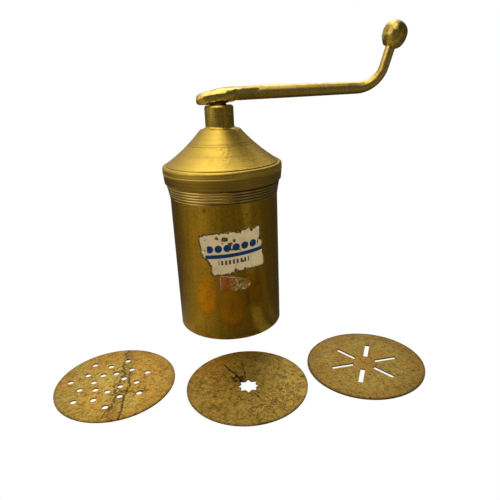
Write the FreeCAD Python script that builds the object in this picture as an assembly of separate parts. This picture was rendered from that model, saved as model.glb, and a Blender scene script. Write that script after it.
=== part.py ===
"""Brass screw press for dough or potato, with three loose die discs.

Millimetres. The origin is the centre of the barrel's foot, on the surface that it stands on. +Z is up the
spindle, and +X runs along the crank's arm. Every function returns one separate piece.
"""
import FreeCAD, Part
import math
import os

from FreeCAD import Vector

UP = Vector(0, 0, 1)
SIDE = Vector(0, 1, 0)

# Barrel: a thin tube with a lip inside its foot, on which a die disc sits
barrel_radius = 35.0
barrel_wall = 1.2
barrel_height = 107.0
lip_reach = 3.3
lip_thickness = 1.5

# Collar brazed round the barrel's mouth: four turned beads under a screw thread
collar_thread_count = 3
collar_thread_pitch = 2.0
collar_thread_depth = 0.5
collar_thread_run_out = 1.0
collar_wall = 1.2
bead_count = 4
bead_pitch = 1.75
bead_bottom_rise = 0.5
bead_top_rise = 1.5
bead_land = 1.5
bead_depth = 0.45

# Cap: a threaded skirt under a hollow cone
seat_gap = 0.2
cap_thread_gap = 0.25
skirt_height = 7.7
skirt_wall = 1.3
skirt_flare = 0.6
cap_edge_break = 0.25
band_drop = 2.4
groove_outline = ((-0.15, 0.0), (-0.45, 0.2), (-0.45, 0.5), (-0.2, 0.65))
band_bead_middle = (0.1, 1.1)
band_bead_end = (-0.15, 1.55)
band_height = 1.75
rim_height = 3.1
rim_roll = 1.8
cone_shelf = 2.5
cone_foot_rise = 0.6
cone_height = 20.9
cone_hollow = 1.4
cone_wall = 2.0
cone_top_radius = 13.0
cone_top_drop = 0.3
cap_hollow_step = 0.4
inner_middle_walls = 1.35
inner_foot_walls = 1.25
engraved_radii = (20.0, 21.3)
engraved_line = 0.22

# Boss: the nut that is peened into the top of the cap
boss_radius = 9.07
boss_height = 14.3
boss_flange_radius = 11.6
boss_flange_edge = 0.35
boss_flange_height = 2.0
boss_fillet = 0.65
boss_chamfer = 0.9
spigot_radius = 8.2
peen_radius = 10.0
peen_height = 1.4
peen_taper = 0.6

# Spindle: the steep screw thread as plain ridges, with a journal below it and a shank above it
lead = 5.0
thread_radius = 6.0
thread_depth = 1.2
thread_gap = 0.4
thread_run_out = 2.0
shank_radius = 4.7
shank_below_boss_top = 4.5
journal_radius = 4.0
journal_head_radius = 5.4
journal_head_height = 1.0
tang_side = 6.2
tang_depth = 5.0

# Piston: a plate and a hub, hung on the journal between two washers
disc_gap = 0.3
piston_gap = 0.3
piston_floor_gap = 0.45
piston_thickness = 5.0
piston_chamfer = 0.8
recess_radius = 9.5
recess_depth = 2.8
hub_height = 10.0
hub_top_radius = 8.5
hub_flange_height = 3.0
hub_flange_radius = 15.0
hub_chamfer = 0.5
hub_fillet = 1.0
rivet_count = 3
rivet_radius = 1.5
rivet_head_radius = 2.2
rivet_head_height = 0.9
rivet_circle = 12.2
washer_radius = 7.6
washer_thickness = 1.2
running_gap = 0.06
end_float = 0.12

# Crank: a hammered eye, a tapered arm that turns up, and a knob on its end
eye_gap = 0.35
arm_height = 6.6
arm_start = 9.0
arm_straight_end = 86.5
arm_eye_radius = 4.35
arm_bend_start_radius = 3.55
arm_bend_end_radius = 2.95
bend_radius = 17.5
bend_turn = 73.0
bend_stations = 8
upright_length = 10.9
knob_radius = 7.4
knob_length = 15.4
knob_socket_depth = 4.0
socket_floor = 1.0

# Crank's eye: ovals as (distance along the arm, height above the boss, half height, half width), then the
# two flats hammered on its front, each as a point (heights above the boss) and the way that it faces
eye_ovals = ((-13.7, 3.3, 0.7, 1.6), (-12.4, 3.2, 2.0, 3.6), (-8.0, 3.9, 3.75, 6.2), (-2.0, 4.9, 4.75, 7.6),
             (5.0, 5.9, 4.95, 6.6), (10.5, 6.5, 4.5, 4.7))
eye_flats = (((-2.0, -6.2, 4.0), (-0.12, -1.0, 0.1)), ((-5.0, -3.0, 7.0), (-0.42, -0.42, 0.8)))

# Die discs: loose plates that fit the barrel's bore one at a time. The star disc lies at a gap from the
# barrel and the other two at gaps from the star disc, each at a bearing in degrees from +X
disc_thickness = 0.9
disc_edge_chamfer = 0.15
star_die_gap = 16.66
star_die_bearing = -85.56
round_die_gap = 8.28
round_die_bearing = 171.75
slot_die_gap = 4.05
slot_die_bearing = 9.89
round_hole_radius = 1.75
round_hole_rings = (8.7, 16.0, 22.2)
round_holes_per_ring = 7
round_hole_phase = 174.0
round_pattern_shift = (-4.0, 0.2)
star_points = 8
star_tip_radius = 6.2
star_root_radius = 4.3
star_phase = -2.0
star_shift = (0.6, -1.6)
slot_count = 6
slot_start = 6.6
slot_end = 19.8
slot_width = 2.5
slot_phase = 68.0
slot_shift = (-0.4, 0.1)
punch_mark_radius = 0.6

# Paper label and the stain of an older one, both curved round the front of the barrel
label_thickness = 0.15
stain_thickness = 0.1
label_outline = ((-17.0, 70.6), (-6.7, 72.4), (6.0, 73.0), (14.0, 74.8), (21.6, 74.4), (20.8, 66.4),
                 (22.8, 65.2), (23.8, 49.4), (14.6, 48.9), (4.0, 50.2), (3.8, 47.6), (-9.4, 46.2),
                 (-9.8, 51.2), (-12.6, 55.8), (-16.2, 60.0))
stain_outline = ((-5.4, 45.6), (7.5, 43.6), (13.0, 41.8), (14.0, 38.6), (11.8, 35.4), (0.6, 34.8),
                 (-5.6, 36.2), (-6.3, 40.4))

# Sizes that follow from the ones above
bore_radius = barrel_radius - barrel_wall
collar_thread_radius = barrel_radius + collar_wall
collar_thread_height = collar_thread_count * collar_thread_pitch + 2 * collar_thread_run_out
collar_shoulder = barrel_height - collar_thread_height
cap_seat = barrel_height + seat_gap
cap_bottom = cap_seat - skirt_height
cap_thread_crest = collar_thread_radius + cap_thread_gap
cap_thread_root = cap_thread_crest + collar_thread_depth
skirt_bottom_radius = cap_thread_crest + skirt_wall
skirt_top_radius = skirt_bottom_radius + skirt_flare
rim_top = cap_seat + rim_height
cone_foot_radius = skirt_top_radius - cone_shelf
boss_seat = rim_top + cone_height
cap_underside = boss_seat - cone_wall - cone_top_drop
boss_top = boss_seat + boss_height
disc_radius = bore_radius - disc_gap
piston_bottom = lip_thickness + disc_thickness + piston_floor_gap
piston_top = piston_bottom + piston_thickness
hub_top = piston_top + hub_height
spindle_shoulder = hub_top + washer_thickness + 2 * end_float
shank_bottom = boss_top - shank_below_boss_top
eye_bottom = boss_top + eye_gap
arm_z = boss_top + arm_height
socket_bottom = eye_bottom + socket_floor


def turned(points):
    """A solid of revolution about Z from (radius, height) points. Three points in a tuple are an arc."""
    def at(point):
        return Vector(point[0], 0, point[1])
    edges = []
    here = points[0]
    for step in points[1:] + [points[0]]:
        if isinstance(step[0], tuple):
            edges.append(Part.Arc(at(here), at(step[0]), at(step[1])).toShape())
            here = step[1]
        else:
            edges.append(Part.LineSegment(at(here), at(step)).toShape())
            here = step
    return Part.Face(Part.Wire(edges)).revolve(Vector(0, 0, 0), UP, 360)


def rod(radius, bottom, top, x=0.0, y=0.0):
    """A round rod that stands between two heights."""
    return Part.makeCylinder(radius, top - bottom, Vector(x, y, bottom))


def ring(inner, outer, bottom, top):
    """A plain round ring between two heights."""
    return rod(outer, bottom, top).cut(rod(inner, bottom - 1, top + 1))


def barrel_tube():
    chamfer = barrel_wall / 4
    return turned([(bore_radius, 0), (barrel_radius - chamfer, 0), (barrel_radius, chamfer),
                   (barrel_radius, barrel_height), (bore_radius, barrel_height)])


def foot_ring():
    """The lip brazed inside the foot, with its upper inner edge broken."""
    inner = bore_radius - lip_reach
    broken = lip_thickness / 4
    return turned([(inner, 0), (bore_radius, 0), (bore_radius, lip_thickness),
                   (inner + broken, lip_thickness), (inner, lip_thickness - broken)])


def ridges(root, crest, bottom, pitch, count):
    """Outline of a thread's teeth, upwards from a height, as plain ridges."""
    points = []
    for index in range(count):
        low = bottom + index * pitch
        points += [(root, low), (crest, low + 0.35 * pitch),
                   (crest, low + 0.6 * pitch), (root, low + 0.95 * pitch)]
    return points


def barrel_collar():
    """Beads that grow towards the cap, a narrow neck, and the thread that the cap screws on to."""
    bead_rise = (bead_top_rise - bead_bottom_rise) / (bead_count - 1)
    bottom = collar_shoulder - bead_count * bead_pitch - bead_land
    outline = [(barrel_radius, bottom), (barrel_radius + bead_bottom_rise / 2, bottom)]
    for index in range(bead_count):
        rise = bead_bottom_rise + index * bead_rise
        low = bottom + bead_land / 2 + index * bead_pitch
        valley = barrel_radius + rise - bead_depth
        outline.append((valley, low))
        outline.append(((barrel_radius + rise, low + bead_pitch / 2), (valley, low + bead_pitch)))
    neck = collar_thread_radius - collar_thread_depth
    outline.append((neck, collar_shoulder))
    outline += ridges(neck, collar_thread_radius, collar_shoulder + collar_thread_run_out,
                      collar_thread_pitch, collar_thread_count)
    outline += [(neck, barrel_height), (barrel_radius, barrel_height)]
    return turned(outline)


def cone_point(radius):
    """Height of the cap's outer cone at a radius: a straight slope with a shallow hollow in it."""
    along = (cone_foot_radius - radius) / (cone_foot_radius - cone_top_radius)
    rise = cone_height - cone_foot_rise - cone_top_drop
    return rim_top + cone_foot_rise + rise * along - cone_hollow * 4 * along * (1 - along)


def cap_shell():
    """Skirt, turned bands, rolled rim and hollow cone in one turned piece, threaded inside the skirt."""
    band = cap_seat - band_drop

    def banded(step):
        return (skirt_top_radius + step[0], band + step[1])

    middle = (cone_foot_radius + cone_top_radius) / 2
    inner_foot = bore_radius - cap_hollow_step
    inner_middle = (inner_foot + cone_top_radius) / 2
    thread = ridges(cap_thread_crest, cap_thread_root, collar_shoulder + collar_thread_run_out,
                    collar_thread_pitch, collar_thread_count)[::-1]
    shell = turned([
        (cap_thread_crest, cap_bottom), (skirt_bottom_radius - cap_edge_break, cap_bottom),
        (skirt_bottom_radius, cap_bottom + cap_edge_break),
        *[banded(step) for step in groove_outline], (banded(band_bead_middle), banded(band_bead_end)),
        (skirt_top_radius, band + band_height), (skirt_top_radius, rim_top - rim_roll),
        ((skirt_top_radius - 0.28 * rim_roll, rim_top - 0.22 * rim_roll),
         (skirt_top_radius - rim_roll, rim_top)),
        (cone_foot_radius + 0.2, rim_top - 0.15), (cone_foot_radius, cone_point(cone_foot_radius)),
        ((middle, cone_point(middle)), (cone_top_radius, cone_point(cone_top_radius))),
        (cone_top_radius - cone_top_drop, boss_seat), (spigot_radius, boss_seat),
        (spigot_radius, cap_underside), (cone_top_radius - cone_wall * 0.4, cap_underside),
        ((inner_middle, cone_point(inner_middle) - cone_wall * inner_middle_walls),
         (inner_foot, cone_point(inner_foot) - cone_wall * inner_foot_walls)),
        (inner_foot, cap_seat), (cap_thread_crest, cap_seat), *thread])
    for radius in engraved_radii:
        shell = shell.cut(Part.makeTorus(radius, engraved_line, Vector(0, 0, cone_point(radius))))
    return shell


def boss_nut():
    """The boss stands on the cap, its spigot passes through, and its foot is peened out underneath."""
    peen_bottom = cap_underside - peen_height
    bore = thread_radius + thread_gap
    return turned([
        (bore, peen_bottom), (peen_radius - peen_taper, peen_bottom), (peen_radius, cap_underside),
        (spigot_radius, cap_underside), (spigot_radius, boss_seat), (boss_flange_radius, boss_seat),
        (boss_flange_radius - boss_flange_edge / 2, boss_seat + boss_flange_edge),
        ((boss_radius + boss_fillet, boss_seat + 1.3 * boss_fillet),
         (boss_radius, boss_seat + boss_flange_height)),
        (boss_radius, boss_top - boss_chamfer), (boss_radius - boss_chamfer, boss_top), (bore, boss_top)])


def square_tang():
    """The square end of the spindle that fills the eye's socket."""
    half = tang_side / 2
    return Part.makeBox(tang_side, tang_side, tang_depth, Vector(-half, -half, socket_bottom))


def spindle():
    """The thread as a stack of ridges one lead apart, with a shank and a square tang above it."""
    root = thread_radius - thread_depth
    count = int((shank_bottom - spindle_shoulder - thread_run_out) / lead)
    body = turned([(0, spindle_shoulder), (root, spindle_shoulder),
                   *ridges(root, thread_radius, spindle_shoulder + thread_run_out, lead, count),
                   (root, shank_bottom), (shank_radius, shank_bottom), (shank_radius, socket_bottom),
                   (0, socket_bottom)])
    return body.fuse(square_tang())


def journal_pin():
    """A plain journal brazed on to the spindle's lower end, with a peened head that carries the piston."""
    head = piston_bottom + recess_depth - washer_thickness - end_float
    return turned([
        (0, head - journal_head_height), (journal_head_radius - peen_taper, head - journal_head_height),
        (journal_head_radius, head), (journal_radius, head), (journal_radius, spindle_shoulder),
        (0, spindle_shoulder)])


def thrust_washer():
    """Between the spindle's shoulder and the hub; it turns with the spindle."""
    return ring(journal_radius, washer_radius, spindle_shoulder - washer_thickness, spindle_shoulder)


def retaining_washer():
    """Held by the journal's head in the recess under the piston; it lifts the piston."""
    top = piston_bottom + recess_depth - end_float
    return ring(journal_radius, washer_radius, top - washer_thickness, top)


def rivet_places():
    """Centres of the hub's rivets, evenly spaced round the journal."""
    turns = [math.radians(360.0 * index / rivet_count + 30) for index in range(rivet_count)]
    return [(rivet_circle * math.cos(turn), rivet_circle * math.sin(turn)) for turn in turns]


def piston_plate():
    """A thick plate with a recess under it for the journal's head and washer."""
    outer = bore_radius - piston_gap
    hole = journal_radius + running_gap
    recess_top = piston_bottom + recess_depth
    plate = turned([
        (recess_radius, piston_bottom), (outer - piston_chamfer, piston_bottom),
        (outer, piston_bottom + piston_chamfer), (outer, piston_top - piston_chamfer),
        (outer - piston_chamfer, piston_top), (hole, piston_top),
        (hole, recess_top), (recess_radius, recess_top)])
    for x, y in rivet_places():
        plate = plate.cut(rod(rivet_radius, piston_bottom - 1, piston_top + 1, x, y))
    return plate


def piston_hub():
    """A stepped hub that guides the journal, with a flange that takes the rivets."""
    hole = journal_radius + running_gap
    step = piston_top + hub_flange_height
    fillet_middle = 0.3 * hub_fillet
    hub = turned([
        (hole, piston_top), (hub_flange_radius, piston_top), (hub_flange_radius, step - hub_chamfer),
        (hub_flange_radius - hub_chamfer, step), (hub_top_radius + hub_fillet, step),
        ((hub_top_radius + fillet_middle, step + fillet_middle), (hub_top_radius, step + hub_fillet)),
        (hub_top_radius, hub_top - hub_chamfer), (hub_top_radius - hub_chamfer, hub_top), (hole, hub_top)])
    for x, y in rivet_places():
        hub = hub.cut(rod(rivet_radius, piston_top - 1, step + 1, x, y))
    return hub


def hub_rivets():
    """Rivets through the hub's flange and the plate, flush below and domed above."""
    flange = piston_top + hub_flange_height
    rivets = []
    for x, y in rivet_places():
        crown = flange + rivet_head_height
        dome = turned([(0, flange), (rivet_head_radius, flange),
                       ((rivet_head_radius * 0.8, flange + rivet_head_height * 0.6),
                        (rivet_head_radius * 0.3, crown)), (0, crown)])
        dome.translate(Vector(x, y, 0))
        rivets.append(dome.fuse(rod(rivet_radius, piston_bottom, flange, x, y)).removeSplitter())
    return Part.makeCompound(rivets)


def on_arm(point):
    """A point of the crank's plane: distance from the spindle's axis, and height."""
    return Vector(point[0], 0, point[1])


def bend_place(turn):
    """Centre of the arm's section at an angle round its bend."""
    turn = math.radians(turn)
    return (arm_straight_end + bend_radius * math.sin(turn),
            arm_z + bend_radius * (1 - math.cos(turn)))


def upright(distance):
    """A point of the arm's straight upright, at a distance from the end of the bend."""
    x, z = bend_place(bend_turn)
    turn = math.radians(bend_turn)
    return (x + distance * math.cos(turn), z + distance * math.sin(turn))


def arm_rod():
    """The tapered run, the bend as a loft through evenly turned sections, and the upright."""
    run = Part.makeCone(arm_eye_radius, arm_bend_start_radius, arm_straight_end - arm_start,
                        on_arm((arm_start, arm_z)), Vector(1, 0, 0))
    sections = []
    for index in range(bend_stations):
        share = index / (bend_stations - 1)
        turn = math.radians(bend_turn * share)
        radius = arm_bend_start_radius + (arm_bend_end_radius - arm_bend_start_radius) * share
        along = Vector(math.cos(turn), 0, math.sin(turn))
        circle = Part.Circle(on_arm(bend_place(bend_turn * share)), along, radius)
        sections.append(Part.Wire([circle.toShape()]))
    bend = Part.makeLoft(sections, True, False)
    turn = math.radians(bend_turn)
    stem = Part.makeCylinder(arm_bend_end_radius, upright_length + knob_socket_depth, on_arm(upright(0)),
                             Vector(math.cos(turn), 0, math.sin(turn)))
    return run.fuse([bend, stem])


def half_space(point, normal):
    """A large block on the far side of a plane, to hammer a flat on the eye."""
    normal = Vector(*normal).normalize()
    block = Part.makeBox(60, 60, 30, Vector(-30, -30, 0))
    block.Placement = FreeCAD.Placement(Vector(*point), FreeCAD.Rotation(UP, normal))
    return block


def arm_eye():
    """The drooping nose over the spindle: a loft of ovals with two flats hammered on its front."""
    sections = []
    for x, rise, half_height, half_width in eye_ovals:
        centre = on_arm((x, boss_top + rise))
        if half_width > half_height:
            across = Part.Ellipse(centre + SIDE * half_width, centre + UP * half_height, centre)
        else:
            across = Part.Ellipse(centre + UP * half_height, centre + SIDE * half_width, centre)
        sections.append(Part.Wire([across.toShape()]))
    eye = Part.makeLoft(sections, True, False)
    for (x, y, rise), facing in eye_flats:
        eye = eye.cut(half_space((x, y, boss_top + rise), facing))
    floor = Part.makeBox(60, 60, 10, Vector(-30, -30, eye_bottom - 10))
    return eye.cut(floor)


def crank_arm():
    """Eye and arm in one forging, with a round and a square socket for the spindle."""
    socket = rod(shank_radius, boss_top, socket_bottom)
    return arm_eye().fuse(arm_rod()).cut(socket).cut(square_tang())


def crank_knob():
    """A turned egg-shaped knob, driven on to the end of the upright."""
    neck = arm_bend_end_radius + 1.1
    blank = turned([
        (0, 0), (neck, 0), (neck + 0.3, 0.6),
        ((knob_radius * 0.93, knob_length * 0.24), (knob_radius, knob_length * 0.5)),
        ((knob_radius * 0.76, knob_length * 0.83), (knob_radius * 0.12, knob_length)), (0, knob_length)])
    knob = blank.cut(rod(arm_bend_end_radius, -1, knob_socket_depth))
    turn = math.radians(bend_turn)
    along = Vector(math.cos(turn), 0, math.sin(turn))
    knob.Placement = FreeCAD.Placement(on_arm(upright(upright_length)), FreeCAD.Rotation(UP, along))
    return knob


def blank_disc():
    """A plain round die blank with a broken edge, lying on the surface at the origin."""
    edge = disc_radius - disc_edge_chamfer
    shoulder = disc_thickness - disc_edge_chamfer
    return turned([(0, 0), (edge, 0), (disc_radius, disc_edge_chamfer), (disc_radius, shoulder),
                   (edge, disc_thickness), (0, disc_thickness)])


def beside(place, reach, bearing):
    """The place on the surface at a distance and a bearing from another place."""
    turn = math.radians(bearing)
    return place + Vector(reach * math.cos(turn), reach * math.sin(turn), 0)


def placed(shape, place):
    """The shape moved to a place on the surface."""
    shape.translate(place)
    return shape


star_die_place = beside(Vector(0, 0, 0), barrel_radius + star_die_gap + disc_radius, star_die_bearing)
round_die_place = beside(star_die_place, 2 * disc_radius + round_die_gap, round_die_bearing)
slot_die_place = beside(star_die_place, 2 * disc_radius + slot_die_gap, slot_die_bearing)


def round_hole_die():
    """Rings of drilled holes about a point off the disc's centre, each ring turned half a step."""
    disc = blank_disc()
    step = 360.0 / round_holes_per_ring
    for ring_index, radius in enumerate(round_hole_rings):
        for hole_index in range(round_holes_per_ring):
            turn = math.radians(round_hole_phase + step * (hole_index + ring_index / 2))
            x = round_pattern_shift[0] + radius * math.cos(turn)
            y = round_pattern_shift[1] + radius * math.sin(turn)
            disc = disc.cut(rod(round_hole_radius, -1, disc_thickness + 1, x, y))
    return placed(disc, round_die_place)


def star_die():
    """One star-shaped hole, a little off the disc's centre."""
    corners = []
    for index in range(2 * star_points + 1):
        turn = math.radians(star_phase + 180.0 * index / star_points)
        radius = star_root_radius if index % 2 else star_tip_radius
        x, y = star_shift[0] + radius * math.cos(turn), star_shift[1] + radius * math.sin(turn)
        corners.append(Vector(x, y, -1))
    star = Part.Face(Part.makePolygon(corners)).extrude(UP * (disc_thickness + 2))
    return placed(blank_disc().cut(star), star_die_place)


def slot_die():
    """Radial slots round a centre-punch mark that is a little off the disc's centre."""
    disc = blank_disc()
    for index in range(slot_count):
        slot = Part.makeBox(slot_end - slot_start, slot_width, disc_thickness + 2,
                            Vector(slot_start, -slot_width / 2, -1))
        slot.rotate(Vector(0, 0, 0), UP, slot_phase + 360.0 * index / slot_count)
        slot.translate(Vector(*slot_shift, 0))
        disc = disc.cut(slot)
    point = Vector(*slot_shift, disc_thickness - punch_mark_radius)
    mark = Part.makeCone(0, punch_mark_radius, punch_mark_radius, point)
    return placed(disc.cut(mark), slot_die_place)


def patch(outline, thickness):
    """A thin sheet on the front of the barrel. The outline is (distance round the barrel, height)."""
    depth = barrel_radius + 2 * thickness
    corners = [Vector(barrel_radius * math.sin(arc / barrel_radius), -depth, height)
               for arc, height in outline + outline[:1]]
    prism = Part.Face(Part.makePolygon(corners)).extrude(SIDE * depth)
    return ring(barrel_radius, barrel_radius + thickness, 0, barrel_height).common(prism)


def paper_label():
    return patch(label_outline, label_thickness)


def label_stain():
    return patch(stain_outline, stain_thickness)


pieces = (barrel_tube, foot_ring, barrel_collar, cap_shell, boss_nut, spindle, journal_pin,
          thrust_washer, retaining_washer, piston_plate, piston_hub, hub_rivets, crank_arm, crank_knob,
          round_hole_die, star_die, slot_die, paper_label, label_stain)

os.makedirs("parts", exist_ok=True)
for piece in pieces:
    shape = piece()
    shape.exportStep("parts/" + piece.__name__ + ".step")
    box = shape.BoundBox
    print("%-17s solids %d valid %s volume %9.1f x %6.1f %6.1f y %6.1f %6.1f z %6.1f %6.1f" % (
        piece.__name__, len(shape.Solids), shape.isValid(), shape.Volume,
        box.XMin, box.XMax, box.YMin, box.YMax, box.ZMin, box.ZMax))
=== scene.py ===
"""The looks of a brass screw press and its three die discs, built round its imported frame.

The file is laid out as an add-on and is run as a script. Everything is in metres, in the frame's own axes:
the barrel's foot is at the origin, +Z goes up the spindle and +X along the crank's arm.
"""

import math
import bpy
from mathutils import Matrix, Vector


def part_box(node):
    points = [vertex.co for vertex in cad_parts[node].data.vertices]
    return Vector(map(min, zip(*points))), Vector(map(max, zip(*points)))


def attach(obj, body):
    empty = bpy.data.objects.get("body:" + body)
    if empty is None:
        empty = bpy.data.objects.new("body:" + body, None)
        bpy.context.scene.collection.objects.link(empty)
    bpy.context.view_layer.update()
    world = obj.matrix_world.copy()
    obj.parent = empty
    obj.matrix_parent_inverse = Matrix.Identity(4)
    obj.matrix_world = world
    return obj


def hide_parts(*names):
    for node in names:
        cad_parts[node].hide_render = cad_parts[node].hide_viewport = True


bl_info = {
    "name": "Brass Screw Press",
    "version": (1, 0, 0),
    "blender": (4, 5, 0),
    "location": "View3D > Sidebar > Press",
    "description": "Meshes and finishes of a hand-cranked brass press and its die discs",
    "category": "Add Mesh",
}

from collections import namedtuple

import bmesh
import bpy
import numpy as np
from bpy.props import FloatProperty, FloatVectorProperty, PointerProperty
from mathutils import Vector, noise

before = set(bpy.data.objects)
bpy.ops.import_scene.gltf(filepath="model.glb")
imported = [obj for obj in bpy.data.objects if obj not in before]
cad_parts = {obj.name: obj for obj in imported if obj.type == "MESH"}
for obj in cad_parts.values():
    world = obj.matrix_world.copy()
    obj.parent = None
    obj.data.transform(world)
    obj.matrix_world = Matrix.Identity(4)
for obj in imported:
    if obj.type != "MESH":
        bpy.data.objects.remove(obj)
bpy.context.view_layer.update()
MM = 0.001

# Sizes of the object, in millimetres. Heights are measured from the barrel's foot.
BARREL_RADIUS = 35.0
BEAD_FOOT = 91.25
BEAD_PITCH = 1.75
CAP_BAND = 105.6
BOSS_FOOT = 132.4
BOSS_TOP = 145.5
SPINDLE_FOOT = 19.25
SPINDLE_THREAD_TOP = 141.0
SPINDLE_SHANK_TOP = 146.85
SPINDLE_TOP = 151.8
THREAD_RADIUS = 6.0
THREAD_DEPTH = 1.2
THREAD_LEAD = 5.0
SHANK_RADIUS = 4.7
TANG_RADIUS = 3.1
EYE_GAP = 0.35
ARM_RISE = 6.6
ARM_STRAIGHT_END = 86.5
BEND_RADIUS = 17.5
UPRIGHT_LENGTH = 10.9
KNOB_RADIUS = 7.4
KNOB_LENGTH = 15.4
KNOB_MIDDLE = 7.7
KNOB_TOP_SPAN = 7.82
KNOB_FOOT_SPAN = 9.6
KNOB_FOOT = 174.6
EYE_END = 13.0
EYE_FOOT_END = 12.0
ARM_END_RADIUS = 3.55
UPRIGHT_RADIUS = 2.95
SUNK_IN_KNOB = 2.0
STEP_RISE = 0.01

# The arm's bend in degrees, and half of the thread's crest and one of its flanks as shares of the lead
BEND_TURN = 73.0
THREAD_CREST = 0.13
THREAD_FLANK = 0.17

# How finely the meshes are cut: millimetres between rings, and counts of rings and of points in a ring
EYE_STEP = 0.3
ARM_STEP = 1.0
THREAD_STEP = 0.25
BEND_RINGS = 26
UPRIGHT_RINGS = 12
KNOB_RINGS = 46
KNOB_POINTS = 60
ROUND_POINTS = 44

# Hammer marks: how far one reaches, then how many, how deep, how fast they get shallower and their seed
DENT_REACH = 10.0
ARM_DENTS = {"count": 150, "depth": 0.030, "bow": 0.006, "seed": 5}
KNOB_DENTS = {"count": 210, "depth": 0.30, "bow": 0.05, "seed": 11}

# Where finishes change, each as (none of it here, all of it there) in millimetres
DIRTY_FOOT = (12.0, 1.0)
# BOSS_EDGE also bounds the painted reflection streaks on the boss.
BOSS_EDGE = (10.5, 9.5)
# SKIRT_EDGE also bounds the painted shade on the skirt.
SKIRT_EDGE = (34.0, 36.0)
CONE_FRONT = (-8.0, -14.0)
KNOB_SIDE = (98.0, 100.0)
# ARM_UNDERSIDE and EYE_BACK bound the painted shade on the arm's underside.
ARM_UNDERSIDE = (BOSS_TOP + 7.5, BOSS_TOP + 3.5)
EYE_BACK = (9.0, 11.0)
DISC_RIM = (31.8, 33.2)
DISC_DARKENING = (19.0, 33.0)

# Round spots as ((across, height), size)
SMALL_MARK = ((13.2, 83.5), 0.8)
LARGE_MARK = ((-12.6, 87.0), 1.6)
PEENED_PATCH = ((1.0, 118.0), 7.5)

# Sections of the crank: distance along the arm, rise above the boss, half height and half width
ARM_SECTIONS = np.array((
    (-13.65, 3.50, 1.60, 2.60), (-13.3, 3.50, 2.50, 3.60), (-12.0, 3.70, 3.30, 4.90),
    (-8.0, 4.35, 4.20, 6.40), (-2.0, 5.00, 4.85, 7.60), (5.0, 5.90, 4.95, 6.60), (10.0, 6.50, 4.60, 4.90),
    (10.7, 6.55, 4.05, 4.15), (11.5, 6.60, 4.35, 4.50), (25.0, 6.60, 4.20, 4.20), (86.5, 6.60, 3.55, 3.55)))

# Flats hammered on the eye: a point on the flat (its height is above the boss's top), the way that the flat
# faces, and how far it reaches
EYE_FLATS = (((-2.0, -6.4, 4.0), (-0.06, -1.0, 0.05), 13.0), ((-4.0, -3.8, 7.9), (-0.16, -0.50, 0.84), 12.0),
             ((4.0, -1.0, 10.2), (0.05, -0.30, 1.0), 10.0), ((18.0, -3.75, 6.6), (0.0, -1.0, 0.22), 7.5),
             ((17.0, -1.0, 10.3), (0.0, -0.10, 1.0), 7.0), ((-9.0, 3.0, 7.4), (-0.45, 0.35, 0.80), 7.0),
             ((1.0, 6.6, 5.0), (0.05, 1.0, 0.15), 12.0))

# Looks of the discs: shares of tarnish, darkness, stained cracks, long scores and roughness, then the ways
# that their scratches run in degrees
DiscLook = namedtuple("DiscLook", "tarnish dark cracked split rough turns")
DISC_LOOKS = {
    "round_hole_die": DiscLook(1.00, 0.00, 1.0, 0.0, 0.80, (35.0, 80.0, 150.0)),
    "star_die": DiscLook(0.05, 0.05, 0.0, 0.9, 1.00, (118.0, 124.0, 22.0, 70.0)),
    "slot_die": DiscLook(0.75, 0.44, 0.0, 0.0, 0.40, (5.0, 95.0, 140.0))}

# What shiny surfaces see of the floor, by bearing: 0 and 1 are behind the press, 0.5 is in front of it
FLOOR_GLOW = (
    (0.00, (0.030, 0.028, 0.024)), (0.17, (0.060, 0.055, 0.045)), (0.27, (0.190, 0.175, 0.140)),
    (0.34, (0.300, 0.270, 0.200)), (0.42, (0.180, 0.165, 0.115)), (0.49, (0.090, 0.080, 0.055)),
    (0.590, (0.072, 0.064, 0.044)), (0.605, (0.160, 0.168, 0.142)), (0.640, (0.140, 0.147, 0.125)),
    (0.655, (0.066, 0.058, 0.038)), (0.70, (0.090, 0.078, 0.050)), (0.73, (0.050, 0.044, 0.030)),
    (0.80, (0.040, 0.036, 0.026)), (1.00, (0.030, 0.028, 0.024)))

# Soft box overhead, as parts of a direction: where it starts and is full from its right, left, front, rear
# and lower edges
SOFT_BOX_EDGES = ((0.36, -0.10), (-0.95, -0.05), (-0.90, -0.30), (0.95, 0.35), (0.30, 0.85))

# Lamps that only shiny surfaces see: the way towards each, how narrow it is and how strong
LAMPS = (((0.12, 0.66, 0.75), 18.0, 2.1), ((-0.22, -0.60, 0.77), 30.0, 0.8),
         ((-0.72, 0.66, 0.22), 3.0, 0.40), ((-0.84, -0.31, 0.44), 14.0, 1.3))
ROOM_GLOW = 0.045
ROOM_TINT = (1.0, 0.98, 0.95)
FLOOR_REACH = 6.0

# Camera: millimetres and degrees
CAMERA_PLACE = (0.0, -306.95, 160.75)
CAMERA_TURNS = (69.9822, 2.2832, -3.7446)
CAMERA_LENS = 34.085
SENSOR_WIDTH = 36.0
NEAREST_SEEN = 10.0

# Printing on the label: the bar, the dots above it and the ticks below it. Edges are (nothing, full)
BAR_HEIGHT = 58.7
BAR_SLOPE = 0.078
BAR_EDGE = (1.35, 1.10)
BAR_LEFT = (-14.4, -13.8)
DOT_PITCH = 5.5
DOT_RISE = 4.9
DOT_EDGE = (2.50, 2.25)
DOTS_LEFT = (-12.9, -12.6)
DOTS_RIGHT = (20.6, 20.3)
TICK_PITCH = 2.4
TICK_DROP = 4.3
TICK_SIDE = (0.50, 0.65)
TICK_EDGE = (1.55, 1.35)
TICKS_LEFT = (-6.0, -5.8)
TICKS_RIGHT = (13.4, 13.2)
WHOLE_PITCHES = 20

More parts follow.
